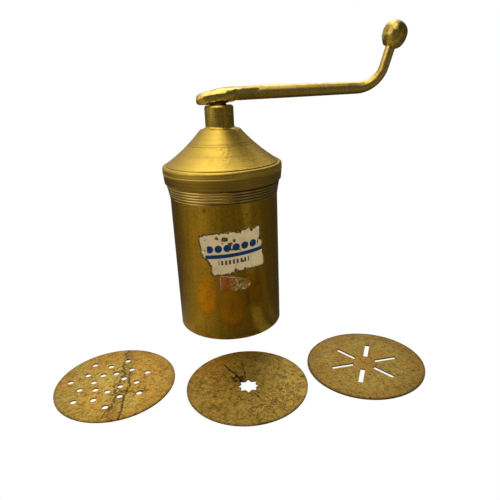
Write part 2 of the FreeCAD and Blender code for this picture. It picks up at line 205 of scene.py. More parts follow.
# Sheets on the barrel: their cells, how ragged they are, and their layers as (lowest reach, thickness)
SHEET_CELL = 0.30
SHEET_MARGIN = 2
TEAR_FLATNESS = 1.3
LABEL_RAGGEDNESS = 0.9
STAIN_RAGGEDNESS = 0.6
LABEL_LAYER = (0.03, 0.12)
STAIN_LAYER = (0.01, 0.05)
# The layer of the painted shadow with dirt round the label's edges
EDGE_SHADOW_LAYER = (0.005, 0.02)

# Outlines as (distance round the barrel from its front, height), clockwise from the upper left, and tears
# as (distance round, height, size)
LABEL_OUTLINE = (
    (-16.9, 70.8), (-6.7, 72.5), (3.9, 73.3), (8.3, 72.4), (10.0, 73.8), (14.0, 74.8), (16.1, 72.6),
    (19.6, 75.0), (21.9, 73.8), (20.8, 66.5), (22.8, 65.3), (24.0, 50.9), (23.7, 49.3), (14.7, 48.9),
    (10.5, 50.0), (7.7, 47.8), (4.0, 50.7), (3.8, 47.9), (-3.2, 46.7), (-9.1, 46.2), (-10.4, 48.7),
    (-9.7, 51.1), (-12.4, 55.7), (-15.0, 57.2), (-16.2, 60.1), (-17.1, 68.3))
LABEL_TEARS = ((-1.2, 69.4, 1.9), (1.8, 66.0, 1.5), (4.6, 68.2, 1.2), (-6.2, 70.2, 1.0), (7.6, 61.9, 0.9),
               (3.0, 62.6, 0.9), (-14.3, 62.2, 0.7), (9.6, 54.6, 0.8), (-13.6, 68.9, 0.7), (-3.0, 66.4, 0.7))
STAIN_OUTLINE = (
    (-5.2, 45.7), (1.8, 45.7), (7.5, 43.3), (12.9, 41.6), (14.2, 38.8), (12.3, 35.4), (5.1, 35.2),
    (0.6, 34.7), (-5.8, 35.9), (-6.2, 40.2))


def colour(name, text, value):
    """A colour that the sidebar shows."""
    return FloatVectorProperty(name=name, description=text, subtype="COLOR", size=3, min=0, max=1,
                               default=value)


def length(name, text, millimetres):
    """A length that the sidebar shows."""
    return FloatProperty(name=name, description=text, subtype="DISTANCE", unit="LENGTH", precision=5,
                         default=millimetres * MM)


class PressColours(bpy.types.PropertyGroup):
    """Colours of the metal, its tarnish and the label."""
    barrel: colour("Barrel brass", "Brass of the drawn barrel", (0.84, 0.480, 0.040))
    cap: colour("Cap brass", "Brass of the turned cap and boss", (0.84, 0.56, 0.085))
    crank: colour("Crank brass", "Brass of the hammered crank", (0.86, 0.60, 0.13))
    spindle: colour("Spindle brass", "Greasy brass of the screw", (0.24, 0.15, 0.04))
    disc: colour("Disc brass", "Dull sheet brass of the dies", (0.66, 0.445, 0.085))
    tarnish: colour("Tarnish", "Orange-brown tarnish of the round-hole die", (0.68, 0.365, 0.050))
    grime: colour("Grime", "Dark dirt in grooves and scratches", (0.045, 0.022, 0.005))
    paper: colour("Paper", "Yellowed paper of the label", (0.50, 0.385, 0.200))
    ink: colour("Ink", "Blue printed on the label", (0.001, 0.020, 0.080))
    black: colour("Black ink", "Dark ticks printed on the label", (0.010, 0.014, 0.030))
    glue: colour("Glue", "Dried glue under the label", (0.20, 0.042, 0.002))


class PressSizes(bpy.types.PropertyGroup):
    """Sizes of the surface detail."""
    turning_pitch: length("Turning pitch", "Distance between the lathe's lines", 0.35)
    hammer_pitch: length("Hammer pitch", "Distance between small hammer marks on the crank", 2.6)


class StageSettings(bpy.types.PropertyGroup):
    """Floor and light."""
    floor: colour("Floor", "White floor", (1.0, 1.0, 1.0))
    light: FloatProperty(name="Light", description="Strength of the soft light all round", default=1.0, min=0)
    overhead: FloatProperty(name="Overhead", description="Strength of the soft box overhead", default=1.45,
                            min=0)


class Number:
    """A number that flows between nodes. Python's operators on it add Math nodes."""

    def __init__(self, recipe, socket):
        self.recipe = recipe
        self.socket = socket

    def maths(self, operation, *others):
        """A Math node whose first value is this number."""
        return self.recipe.maths(operation, self, *others)

    def __add__(self, other):
        return self.maths("ADD", other)

    __radd__ = __add__

    def __mul__(self, other):
        return self.maths("MULTIPLY", other)

    __rmul__ = __mul__

    def __sub__(self, other):
        return self.maths("SUBTRACT", other)

    def __rsub__(self, other):
        return self.recipe.maths("SUBTRACT", other, self)

    def __truediv__(self, other):
        return self.maths("DIVIDE", other)

    def __rtruediv__(self, other):
        return self.recipe.maths("DIVIDE", other, self)

    def __pow__(self, other):
        return self.maths("POWER", other)

    def step(self, low, high):
        """0 below low, 1 above high and a smooth rise between them. It falls where low is above high."""
        return self.recipe.node("ShaderNodeMapRange", {"interpolation_type": "SMOOTHSTEP"},
                                {"Value": self, "From Min": low, "From Max": high})


class Recipe:
    """A node tree that is filled in by one method, with a few short words for common nodes."""

    def __init__(self, tree):
        self.tree = tree
        tree.nodes.clear()

    def node(self, kind, settings=None, values=None, out=0):
        """A node with its settings, then the values or links of its sockets. Returns one of its outputs."""
        made = self.tree.nodes.new(kind)
        for name, value in (settings or {}).items():
            if name == "stops":
                ramp = made.color_ramp
                while len(ramp.elements) < len(value):
                    ramp.elements.new(0.5)
                for element, (place, shade) in zip(ramp.elements, value):
                    element.position = place
                    element.color = (*shade, 1)
            else:
                setattr(made, name, value)
        for name, value in (values or {}).items():
            socket = made.inputs[name]
            if isinstance(value, Number):
                self.tree.links.new(value.socket, socket)
            elif isinstance(value, tuple) and socket.type == "RGBA":
                socket.default_value = (*value, 1)
            else:
                socket.default_value = value
        return Number(self, made.outputs[out]) if made.outputs else None

    def maths(self, operation, *values):
        """A Math node."""
        return self.node("ShaderNodeMath", {"operation": operation}, dict(enumerate(values)))

    def mix(self, share, first, second, blend="MIX"):
        """One colour over another."""
        return self.node("ShaderNodeMix", {"data_type": "RGBA", "blend_type": blend},
                         {0: share, 6: first, 7: second}, 2)

    def vector(self, x, y, z):
        """A vector from three numbers."""
        return self.node("ShaderNodeCombineXYZ", None, {0: x, 1: y, 2: z})

    def split(self, vector):
        """The three numbers of a vector."""
        return [self.node("ShaderNodeSeparateXYZ", None, {0: vector}, index) for index in range(3)]

    def place(self):
        """The point's place in the frame, in millimetres."""
        raw = self.node("ShaderNodeTexCoord", None, None, "Object")
        return self.node("ShaderNodeVectorMath", {"operation": "SCALE"}, {0: raw, "Scale": 1 / MM})

    def noise(self, place, size, detail=3.0, roughness=0.55, distortion=0.0):
        """Soft noise whose lumps are about a size in millimetres."""
        return self.node("ShaderNodeTexNoise", None,
                         {"Vector": place, "Scale": 1 / size, "Detail": detail, "Roughness": roughness,
                          "Distortion": distortion}, "Fac")

    def cells(self, place, size, feature="F1"):
        """Distance to the nearest of scattered points, 0 at a point."""
        return self.node("ShaderNodeTexVoronoi", {"feature": feature},
                         {"Vector": place, "Scale": 1 / size}, "Distance")

    def bump(self, height, depth):
        """A normal from a height of 0 to 1 and its depth in millimetres."""
        return self.node("ShaderNodeBump", None,
                         {"Height": height, "Strength": 1.0, "Distance": depth * MM})

    def surface(self, **sockets):
        """The principled shader with its sockets, named with _ for a space, and the material's output."""
        values = {name.replace("_", " "): value for name, value in sockets.items()}
        shader = self.node("ShaderNodeBsdfPrincipled", None, values)
        self.node("ShaderNodeOutputMaterial", None, {"Surface": shader})


def new_material(name):
    """An empty material and its recipe."""
    material = bpy.data.materials.new(name)
    material.use_nodes = True
    return material, Recipe(material.node_tree)


def around(x, y):
    """Distance from the spindle's axis and angle round it."""
    radius = (x * x + y * y) ** 0.5
    return radius, y.maths("ARCTAN2", x)


def rings(recipe, radius, height, angle, pitch):
    """Lathe lines: noise that changes fast across the turning and hardly at all along it."""
    coarse = recipe.noise(recipe.vector(radius / pitch, height / pitch, angle * 0.35), 1.0, 2.0)
    close = recipe.vector(radius / pitch * 2.7, height / pitch * 2.7, angle * 1.1 + 7.0)
    fine = recipe.noise(close, 1.0, 1.0)
    return coarse * 0.65 + fine * 0.35


def darker(shade, share):
    """A colour brought down by a share."""
    return tuple(channel * share for channel in shade)


def front_arc(x, y):
    """Distance round the barrel from its front, in millimetres, positive to the right."""
    return x.maths("ARCTAN2", y * -1.0) * BARREL_RADIUS


def spot(along, height, middle, size):
    """1 inside a round spot of a size on an unrolled surface, with a soft edge."""
    across = along - middle[0]
    up = height - middle[1]
    return ((across * across + up * up) ** 0.5).step(size, size * 0.45)


def barrel_finish(colours):
    """Drawn brass gone olive-brown: faint upright draw marks, soft smears, specks and two dark marks."""
    material, r = new_material("barrel_finish")
    place = r.place()
    x, y, z = r.split(place)
    radius, angle = around(x, y)
    arc = front_arc(x, y)
    streaks = r.noise(r.vector(angle * 35, z * 0.05, 0.0), 4.0, 3.0, 0.6)
    smears = r.noise(place, 17.0, 4.0, 0.6, 0.5)
    blotches = r.noise(place, 5.0, 4.0, 0.65, 0.6)
    specks = r.cells(place, 1.9).step(0.15, 0.05) * r.noise(place, 10.0).step(0.50, 0.64)
    foot = z.step(*DIRTY_FOOT) * r.noise(place, 6.0).step(0.40, 0.70)
    shade = r.mix(smears.step(0.42, 0.75) * 0.55, colours.barrel[:], darker(colours.barrel, 0.66))
    shade = r.mix(streaks.step(0.50, 0.80) * 0.22, shade, darker(colours.barrel, 0.55))
    shade = r.mix(blotches.step(0.56, 0.68) * 0.42, shade, (0.50, 0.22, 0.02))
    marks = spot(arc, z, *SMALL_MARK) + spot(arc, z, *LARGE_MARK) * blotches
    shade = r.mix(specks * 0.35 + marks * 0.8 + foot * 0.35, shade, colours.grime[:])
    slanted = r.vector(arc * 2.2 + z * 0.9, z * 0.12 - arc * 0.09, radius)
    scratches = r.noise(slanted, 0.8, 2.0).step(0.68, 0.76)
    grain = r.noise(place, 1.2, 3.0, 0.6)
    upright_bands = r.noise(r.vector(angle * 7.0, z * 0.006, 3.0), 1.0, 3.0, 0.6)
    shade = r.mix(upright_bands.step(0.46, 0.66) * 0.26, shade, darker(colours.barrel, 0.50))
    shade = r.mix(grain.step(0.46, 0.62) * 0.40, shade, darker(colours.barrel, 0.42))
    rough = 0.10 + smears * 0.10 + blotches * 0.06 + scratches * 0.04
    height = streaks * 0.25 + scratches * 0.04 + r.noise(place, 26.0, 1.0) * 3.0 + smears * 0.5 + grain * 0.1
    r.surface(Base_Color=shade, Metallic=1.0, Roughness=rough, Normal=r.bump(height, 0.05))
    return material


def collar_finish(colours):
    """Beads with a painted highlight on their crests and dirt packed between them."""
    material, r = new_material("collar_finish")
    place = r.place()
    height = r.split(place)[2]
    film = r.noise(place, 6.0, 3.0, 0.6, 0.4)
    crest = (height - BEAD_FOOT).maths("PINGPONG", BEAD_PITCH / 2)
    packed = crest.step(BEAD_PITCH * 0.20, BEAD_PITCH * 0.08)
    shade = r.mix(film.step(0.40, 0.75) * 0.45, colours.cap[:], darker(colours.cap, 0.5))
    # Painted highlight: the crests of the beads are lightened to a pale gold.
    wear_and_highlight = crest.step(BEAD_PITCH * 0.28, BEAD_PITCH * 0.42)
    shade = r.mix(wear_and_highlight * 0.60, shade, (0.98, 0.76, 0.40))
    shade = r.mix(packed * 0.9, shade, colours.grime[:])
    r.surface(Base_Color=shade, Metallic=1.0, Roughness=0.10 + film * 0.10 + packed * 0.2)
    return material


def cap_finish(colours, sizes):
    """Turned brass: lathe lines round the axis, dirt in the grooves and a dull film in patches, with painted
    shade on the skirt and painted reflection streaks on the boss.
    """
    material, r = new_material("cap_finish")
    place = r.place()
    x, y, z = r.split(place)
    radius, angle = around(x, y)
    lines = rings(r, radius, z, angle, sizes.turning_pitch / MM)
    film = r.noise(place, 11.0, 4.0, 0.6, 0.5)
    fine = r.noise(place, 1.6, 4.0, 0.65)
    specks = r.cells(place, 1.3).step(0.16, 0.04) * film.step(0.45, 0.60)
    boss = z.step(BOSS_FOOT, BOSS_FOOT + 1.0) * radius.step(*BOSS_EDGE)
    skirt = z.step(CAP_BAND, CAP_BAND - 1.2) * radius.step(*SKIRT_EDGE)
    upright_bands = r.noise(r.vector(angle * 9.0, z * 0.10, 2.0), 1.0, 3.0)
    ribs = r.noise(r.vector(angle * 110.0, z * 0.4, 5.0), 1.0, 1.0)
    shade = r.mix(film.step(0.42, 0.78) * 0.40, colours.cap[:], darker(colours.cap, 0.60))
    shade = r.mix(lines.step(0.50, 0.66) * (0.55 + skirt * 0.35), shade, darker(colours.cap, 0.36))
    shade = r.mix(fine.step(0.55, 0.75) * 0.30, shade, darker(colours.cap, 0.45))
    # Painted shade: the skirt is darkened to a dark red-brown, more so along its ribs.
    shade = r.mix(skirt * (0.30 + ribs * 0.35), shade, (0.22, 0.10, 0.02))
    # Painted reflection: dark upright streaks on the boss.
    shade = r.mix(boss * upright_bands.step(0.50, 0.60) * 0.42, shade, darker(colours.cap, 0.30))
    shade = r.mix(specks * 0.6, shade, colours.grime[:])
    peened = spot(x, z, *PEENED_PATCH) * y.step(*CONE_FRONT)
    dimples = r.cells(place, 1.8, "SMOOTH_F1") * peened
    rough = 0.25 + film * 0.10 + lines * 0.07 + fine * 0.05 - boss * 0.14 - skirt * 0.06
    height = lines * 2.6 + dimples * 5.0 + fine * 1.4 + ribs * skirt * 3.0
    r.surface(Base_Color=shade, Metallic=1.0, Roughness=rough, Normal=r.bump(height, 0.035))
    return material


def crank_finish(colours, sizes):
    """Forged and handled brass: small hammer marks, draw marks, brown dirt in the hollows and painted shade
    on the arm's underside.
    """
    material, r = new_material("crank_finish")
    place = r.place()
    x, y, z = r.split(place)
    film = r.noise(place, 4.0, 2.0, 0.5, 0.6)
    fine = r.noise(place, 2.4, 4.0, 0.6)
    pits = r.cells(place, 1.5).step(0.24, 0.05) * r.noise(place, 4.0).step(0.46, 0.60)
    along = r.noise(r.vector(x * 0.12, y * 1.6, z * 1.6), 1.0, 3.0)
    beaten = r.cells(place, sizes.hammer_pitch / MM, "SMOOTH_F1")
    knob = x.step(*KNOB_SIDE) * z.step(KNOB_FOOT - 1.0, KNOB_FOOT + 1.0)
    underside_shade = z.step(*ARM_UNDERSIDE) * x.step(*EYE_BACK)
    shade = r.mix(film.step(0.44, 0.68) * 0.45, colours.crank[:], darker(colours.crank, 0.45))
    # Painted shade: the arm's underside beyond the eye is darkened.
    shade = r.mix(underside_shade * 0.55, shade, (0.15, 0.10, 0.03))
    shade = r.mix(fine.step(0.50, 0.62) * (0.14 + knob * 0.32), shade, (0.26, 0.12, 0.015))
    shade = r.mix(pits * (0.15 + knob * 0.35), shade, colours.grime[:])
    rough = 0.18 + film * 0.10 + along * 0.05 + fine * 0.04 - knob * 0.04
    height = beaten * (0.10 + knob * 0.6) + film * 0.3 + along * 0.1 - pits * knob * 0.3
    r.surface(Base_Color=shade, Metallic=1.0, Roughness=rough, Normal=r.bump(height, 0.05))
    return material


def spindle_finish(colours):
    """Dark greasy brass, brighter where the thread's crests rub."""
    material, r = new_material("spindle_finish")
    place = r.place()
    x, y, z = r.split(place)
    radius, angle = around(x, y)
    grease = r.noise(place, 4.0, 4.0)
    bright = radius.step(THREAD_RADIUS - 0.6, THREAD_RADIUS)
    shade = r.mix(bright * 0.7, colours.spindle[:], colours.crank[:])
    shade = r.mix(grease.step(0.4, 0.7) * 0.5, shade, colours.grime[:])
    r.surface(Base_Color=shade, Metallic=1.0, Roughness=0.34 + grease * 0.2,
              Normal=r.bump(rings(r, radius, z, angle, 0.4), 0.03))
    return material


def scratch_lines(recipe, x, y, turn, width, spread):
    """Long thin scratches that all run one way, as 1 on a scratch."""
    turn = math.radians(turn)
    along = x * math.cos(turn) + y * math.sin(turn)
    across = y * math.cos(turn) - x * math.sin(turn)
    lines = recipe.noise(recipe.vector(across / width, along * 0.06, turn * 9), 1.0, 2.0)
    return lines.step(0.62, 0.70) * recipe.noise(recipe.vector(x, y, turn * 5), spread).step(0.42, 0.56)


def scored(recipe, x, y, aside, turn, reach):
    """One long scratch that leaves the middle of a disc, as 1 on the scratch."""
    turn = math.radians(turn)
    along = x * math.cos(turn) + y * math.sin(turn)
    across = y * math.cos(turn) - x * math.sin(turn) - aside
    sway = (recipe.noise(recipe.vector(along, aside, 2.0), 7.0, 3.0) - 0.5) * 3.0
    near = (across + sway).maths("ABSOLUTE").step(0.75, 0.20)
    return near * along.step(3.5, 6.0) * along.step(reach, reach - 4.0)


def hairline(distance):
    """1 on a crack, from the distance to its middle."""
    return distance.maths("ABSOLUTE").step(0.80, 0.25)


def disc_finish(name, colours, centre, look):
    """Sheet brass gone dull: mottling, pits, scratches every way, dark stained cracks, and darker towards the
    rim.
    """
    material, r = new_material(name)
    place = r.place()
    x, y, _ = r.split(place)
    x, y = x - centre[0], y - centre[1]
    radius = around(x, y)[0]
    mottle = r.noise(place, 5.0, 8.0, 0.78, 0.9)
    broad = r.noise(place, 20.0, 2.0, 0.5)
    fine = r.noise(place, 2.0, 5.0, 0.8)
    grain = r.noise(place, 2.8, 6.0, 0.8, 0.8)
    pits = r.cells(place, 2.0).step(0.36, 0.10) * mottle.step(0.44, 0.58)
    scratches = sum((scratch_lines(r, x, y, turn, 0.5, 9.0) for turn in look.turns[1:]),
                    scratch_lines(r, x, y, look.turns[0], 0.5, 9.0))
    rim = radius.step(*DISC_RIM)
    shade = r.mix(broad.step(0.35, 0.62) * look.tarnish, colours.disc[:], colours.tarnish[:])
    shade = r.mix(mottle.step(0.46, 0.60) * look.rough * 0.30, shade, darker(colours.disc, 0.40))
    shade = r.mix(grain.step(0.52, 0.58) * look.rough * 0.50, shade, darker(colours.disc, 0.26))
    shade = r.mix(fine.step(0.50, 0.58) * (0.25 + look.rough * 0.40), shade, darker(colours.disc, 0.18))
    shade = r.mix(scratches * look.rough * 0.85, shade, darker(colours.disc, 0.10))
    shade = r.mix(radius.step(*DISC_DARKENING) * 0.30, shade, darker(colours.tarnish, 0.40))
    wander = (r.noise(r.vector(y * 0.09, centre[0], 0.0), 1.0, 5.0, 0.75) - 0.5) * 22.0
    fork = (r.noise(r.vector(x * 0.10, centre[1], 4.0), 1.0, 5.0, 0.75) - 0.5) * 16.0
    crack = hairline(x - 2.0 - wander) * y.step(-32.0, -22.0)
    second = hairline(x - 7.5 + wander * 0.5) * y.step(14.0, 8.0)
    branch = hairline(y + 10.0 - fork) * x.step(2.0, 4.0) * x.step(22.0, 19.0)
    halo = (x - 4.0 - wander).maths("ABSOLUTE").step(6.5, 0.0) * grain.step(0.40, 0.56)
    shade = r.mix(halo * look.cracked * 0.65, shade, darker(colours.tarnish, 0.30))
    stained = (crack + second + branch) * look.cracked * 0.75
    torn = (scored(r, x, y, 1.0, 119.0, 26.0) + scored(r, x, y, 0.5, 94.0, 25.0) * 0.6
            + spot(x, y, (-4.6, 5.2), 5.0) * grain.step(0.40, 0.50))
    dirt = pits * look.rough * 0.8 + rim * 0.30 + stained + torn * look.split + look.dark
    shade = r.mix(dirt, shade, colours.grime[:])
    rough = 0.27 + mottle * 0.16 + fine * 0.12
    height = mottle * 1.4 + fine * 1.0 - pits * 0.6 - scratches * 0.5 - stained - torn * look.split
    r.surface(Base_Color=shade, Metallic=0.95, Roughness=rough, Normal=r.bump(height, 0.12))
    return material


def paper_finish(colours):
    """Yellowed paper: a sloping blue bar, blue dots above it and dark ticks below, all partly worn away."""
    material, r = new_material("paper_finish")
    place = r.place()
    x, y, z = r.split(place)
    arc = front_arc(x, y)
    fibres = r.noise(place, 0.45, 4.0, 0.7)
    stains = r.noise(place, 4.0, 4.0, 0.65, 0.4)
    worn = r.noise(place, 1.3, 4.0, 0.7)
    level = z - BAR_HEIGHT - arc * BAR_SLOPE
    shade = r.mix(stains.step(0.42, 0.72) * 0.55, colours.paper[:], darker(colours.paper, 0.60))
    shade = r.mix(fibres.step(0.52, 0.78) * 0.35, shade, darker(colours.paper, 0.45))
    bar = level.maths("ABSOLUTE").step(*BAR_EDGE) * arc.step(*BAR_LEFT)
    across = (arc + DOT_PITCH * WHOLE_PITCHES).maths("PINGPONG", DOT_PITCH / 2)
    up = level - DOT_RISE
    row = arc.step(*DOTS_LEFT) * arc.step(*DOTS_RIGHT)
    dots = ((across * across + up * up) ** 0.5).step(*DOT_EDGE) * row
    tick = (arc + TICK_PITCH * WHOLE_PITCHES).maths("PINGPONG", TICK_PITCH / 2).step(*TICK_SIDE)
    low = (level + TICK_DROP).maths("ABSOLUTE").step(*TICK_EDGE)
    ticks = low * tick * arc.step(*TICKS_LEFT) * arc.step(*TICKS_RIGHT)
    kept = worn.step(0.74, 0.64)
    shade = r.mix(ticks * kept * 0.95, shade, colours.black[:])
    shade = r.mix((bar + dots).maths("MINIMUM", 1.0) * kept, shade, colours.ink[:])
    r.surface(Base_Color=shade, Roughness=0.8, Specular_IOR_Level=0.15,
              Normal=r.bump(fibres + stains, 0.06))
    return material


def edge_shadow_finish(colours):
    """Painted shadow with dark dirt along the label's edges."""
    material, r = new_material("edge_shadow_finish")
    clumps = r.noise(r.place(), 1.2, 3.0, 0.6)
    shade = r.mix(clumps.step(0.46, 0.66) * 0.8, colours.grime[:], darker(colours.barrel, 0.30))
    r.surface(Base_Color=shade, Roughness=0.6, Specular_IOR_Level=0.2)
    return material


def glue_finish(colours):
    """Reddish-brown dried glue, rubbed through to brass in the middle, with pale crumbs and a pale edge."""
    material, r = new_material("glue_finish")
    place = r.place()
    x, y, z = r.split(place)
    arc = front_arc(x, y)
    blots = r.noise(place, 3.2, 5.0, 0.65, 0.6)
    shift = arc + (blots - 0.5) * 9.0
    wear_and_highlight = shift.step(0.2, 2.2) * shift.step(11.0, 8.8) * z.step(44.6, 43.0)
    crumbs = r.cells(place, 2.0).step(0.46, 0.30) * blots.step(0.36, 0.48) * arc.step(2.0, 5.0)
    edge = (arc + 5.4).maths("ABSOLUTE").step(0.40, 0.15)
    pale = edge + (z - 44.6 + arc * 0.18).maths("ABSOLUTE").step(0.40, 0.15)
    glue = r.mix(blots.step(0.42, 0.66) * 0.8, colours.glue[:], (0.24, 0.085, 0.004))
    flecks = r.noise(place, 1.4, 4.0, 0.7)
    shade = r.mix(wear_and_highlight, glue, (0.30, 0.18, 0.03))
    shade = r.mix(flecks.step(0.50, 0.58) * (0.35 + wear_and_highlight * 0.5), shade, (0.05, 0.018, 0.003))
    shade = r.mix(crumbs * 0.9 + pale * blots * 0.8, shade, colours.paper[:])
    r.surface(Base_Color=shade, Metallic=wear_and_highlight * 0.5, Roughness=0.42 + blots * 0.2,
              Specular_IOR_Level=0.15, Normal=r.bump(blots, 0.08))
    return material


def piece(name, shape, material, body, slot, *nodes):
    """A finished mesh as a piece that rides on a body and stands for nodes of the frame."""
    mesh = bpy.data.meshes.new(name)
    bmesh.ops.recalc_face_normals(shape, faces=shape.faces)
    shape.to_mesh(mesh)
    shape.free()
    mesh.shade_smooth()
    mesh.materials.append(material)
    made = bpy.data.objects.new(name, mesh)
    bpy.context.scene.collection.objects.link(made)
    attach(made, body)
    if nodes:
        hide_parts(*nodes)
    return made


def skin(shape, loops):
    """Quads between rings of points that all have the same count, with a fan over each end."""
    rows = [[shape.verts.new(point) for point in loop] for loop in loops]
    for low, high in zip(rows, rows[1:]):
        for index in range(len(low)):
            after = (index + 1) % len(low)
            shape.faces.new((low[index], low[after], high[after], high[index]))
    for row, end in ((rows[0], loops[0]), (rows[-1], loops[-1])):
        middle = shape.verts.new(np.mean(end, axis=0))
        for index in range(len(row)):
            shape.faces.new((row[index], row[(index + 1) % len(row)], middle))


def flattened(points, place, facing, reach):
    """The points, pressed on to a flat wherever they stand proud of it within its reach."""
    facing = np.array(facing) / np.linalg.norm(facing)
    off = points - np.array(place)
    proud = off @ facing
    near = np.linalg.norm(off, axis=-1) < reach
    return points - (np.clip(proud, 0, None) * near)[..., None] * facing


def dented(points, outward, count, depth, bow, seed):
    """The points with hammer marks pressed in at random. bow is how fast a mark gets shallower outwards."""
    pick = np.random.default_rng(seed)
    spots = points.reshape(-1, 3)
    normals = outward.reshape(-1, 3)
    moved = spots.copy()
    for index in pick.integers(len(spots), size=count):
        facing = normals[index]
        off = moved - (spots[index] - facing * depth * pick.uniform(0.4, 1.0))
        proud = off @ facing
        spread = (off ** 2).sum(axis=1) - proud ** 2
        push = np.clip(proud - bow * spread, 0, 3 * depth) * (spread < DENT_REACH ** 2)
        moved = moved - push[:, None] * facing
    return moved.reshape(points.shape)


def softened(values, passes):
    """A run of values, each one moved towards the mean of its neighbours."""
    for _ in range(passes):
        values = np.concatenate((values[:1], (values[:-2] + 2 * values[1:-1] + values[2:]) / 4, values[-1:]))
    return values


def crank_rings(boss_top):
    """Rings of points along the crank in millimetres, and the way that each point faces."""
    x = np.concatenate((np.arange(ARM_SECTIONS[0, 0], EYE_END, EYE_STEP),
                        np.arange(EYE_END, ARM_STRAIGHT_END, ARM_STEP)))
    rise, half_height, half_width = (softened(np.interp(x, ARM_SECTIONS[:, 0], column), 2)
                                     for column in ARM_SECTIONS.T[1:])
    turns = np.radians(np.linspace(0, BEND_TURN, BEND_RINGS))
    level = boss_top + ARM_RISE
    bend = np.stack((ARM_STRAIGHT_END + BEND_RADIUS * np.sin(turns),
                     level + BEND_RADIUS * (1 - np.cos(turns))), 1)
    climb = np.array((math.cos(turns[-1]), math.sin(turns[-1])))
    upright = bend[-1] + np.linspace(1.0, UPRIGHT_LENGTH + SUNK_IN_KNOB, UPRIGHT_RINGS)[:, None] * climb
    centres = np.concatenate((np.stack((x, boss_top + rise), 1), bend, upright))
    tilt = np.concatenate((np.zeros(len(x)), turns, np.full(len(upright), turns[-1])))
    thin = np.concatenate((np.linspace(ARM_END_RADIUS, UPRIGHT_RADIUS, len(bend)),
                           np.full(len(upright), UPRIGHT_RADIUS)))
    tall = np.concatenate((half_height, thin))
    wide = np.concatenate((half_width, thin))
    angles = np.linspace(0, 2 * math.pi, ROUND_POINTS, endpoint=False)
    up = np.stack((-np.sin(tilt), np.zeros(len(tilt)), np.cos(tilt)), 1)
    side = np.array((0.0, 1.0, 0.0))
    middle = np.stack((centres[:, 0], np.zeros(len(centres)), centres[:, 1]), 1)
    sweep = up[:, None] * np.sin(angles)[None, :, None]
    cross = side * np.cos(angles)[None, :, None]
    points = middle[:, None] + sweep * tall[:, None, None] + cross * wide[:, None, None]
    outward = sweep / tall[:, None, None] + cross / wide[:, None, None]
    return points, outward / np.linalg.norm(outward, axis=2, keepdims=True)


def crank_shape(boss_top):
    """The forged crank: flats on its eye, a crease behind it and hammer marks all along."""
    points, outward = crank_rings(boss_top)
    for (x, y, rise), facing, reach in EYE_FLATS:
        points = flattened(points, (x, y, boss_top + rise), facing, reach)
    points = dented(points, outward, **ARM_DENTS)
    low = boss_top + EYE_GAP
    over_boss = points[..., 0] < EYE_FOOT_END
    points[..., 2] = np.where(over_boss, np.maximum(points[..., 2], low), points[..., 2])
    shape = bmesh.new()
    skin(shape, points * MM)
    return shape


def knob_shape(boss_top):
    """An egg with facets hammered all over it, on the end of the upright."""
    turn = math.radians(BEND_TURN)
    along = np.array((math.cos(turn), 0.0, math.sin(turn)))
    across = np.array((-math.sin(turn), 0.0, math.cos(turn)))
    side = np.array((0.0, 1.0, 0.0))
    foot = np.array((ARM_STRAIGHT_END + BEND_RADIUS * math.sin(turn), 0.0,
                     boss_top + ARM_RISE + BEND_RADIUS * (1 - math.cos(turn)))) + along * UPRIGHT_LENGTH
    heights = KNOB_LENGTH * (1 - np.cos(np.linspace(0.0, math.pi, KNOB_RINGS))) / 2
    span = np.where(heights > KNOB_MIDDLE, KNOB_TOP_SPAN, KNOB_FOOT_SPAN)
    radii = KNOB_RADIUS * np.sqrt(1 - ((heights - KNOB_MIDDLE) / span) ** 2)
    angles = np.linspace(0, 2 * math.pi, KNOB_POINTS, endpoint=False)
    way = across * np.cos(angles)[:, None] + side * np.sin(angles)[:, None]
    points = foot + heights[:, None, None] * along + radii[:, None, None] * way
    steepness = ((heights - KNOB_MIDDLE) / span ** 2)[:, None, None]
    outward = way * radii[:, None, None] / KNOB_RADIUS ** 2 + steepness * along
    outward = outward / np.linalg.norm(outward, axis=2, keepdims=True)
    points = dented(points, outward, **KNOB_DENTS)
    shape = bmesh.new()
    skin(shape, points * MM)
    return shape


def spindle_shape():
    """The spindle with its right-handed thread: rings whose tooth goes round once in a lead."""
    ends = (SPINDLE_THREAD_TOP, SPINDLE_SHANK_TOP, SPINDLE_SHANK_TOP + STEP_RISE, SPINDLE_TOP)
    heights = np.concatenate((np.arange(SPINDLE_FOOT, SPINDLE_THREAD_TOP, THREAD_STEP), ends))
    angles = np.linspace(0, 2 * math.pi, ROUND_POINTS, endpoint=False)
    lag = angles / (2 * math.pi) - heights[:, None] / THREAD_LEAD
    lag = np.abs(lag - np.round(lag))
    radii = THREAD_RADIUS - THREAD_DEPTH * np.clip((lag - THREAD_CREST) / THREAD_FLANK, 0, 1)
    radii = np.where(heights[:, None] >= SPINDLE_THREAD_TOP, SHANK_RADIUS, radii)
    radii = np.where(heights[:, None] > SPINDLE_SHANK_TOP, TANG_RADIUS, radii)
    levels = np.broadcast_to(heights[:, None], radii.shape)
    points = np.stack((radii * np.cos(angles), radii * np.sin(angles), levels), 2)
    shape = bmesh.new()
    skin(shape, points * MM)
    return shape


def inside(outline, x, y):
    """Whether a point is inside a closed outline."""
    found = False
    for (ax, ay), (bx, by) in zip(outline, outline[1:] + outline[:1]):
        if (ay > y) != (by > y) and x < ax + (y - ay) * (bx - ax) / (by - ay):
            found = not found
    return found


def ragged(arc, height, depth):
    """A point moved about by fine noise, so that an outline tested with it comes out torn."""
    def wave(fineness, layer):
        """Soft noise between -1 and 1."""
        return noise.noise(Vector((arc * fineness, height * fineness, layer)))

    fine = wave(1.7, 8.0)
    return arc + depth * (wave(0.7, 15.0) + 0.5 * fine), height + depth * (wave(0.55, 3.0) + 0.6 * fine)


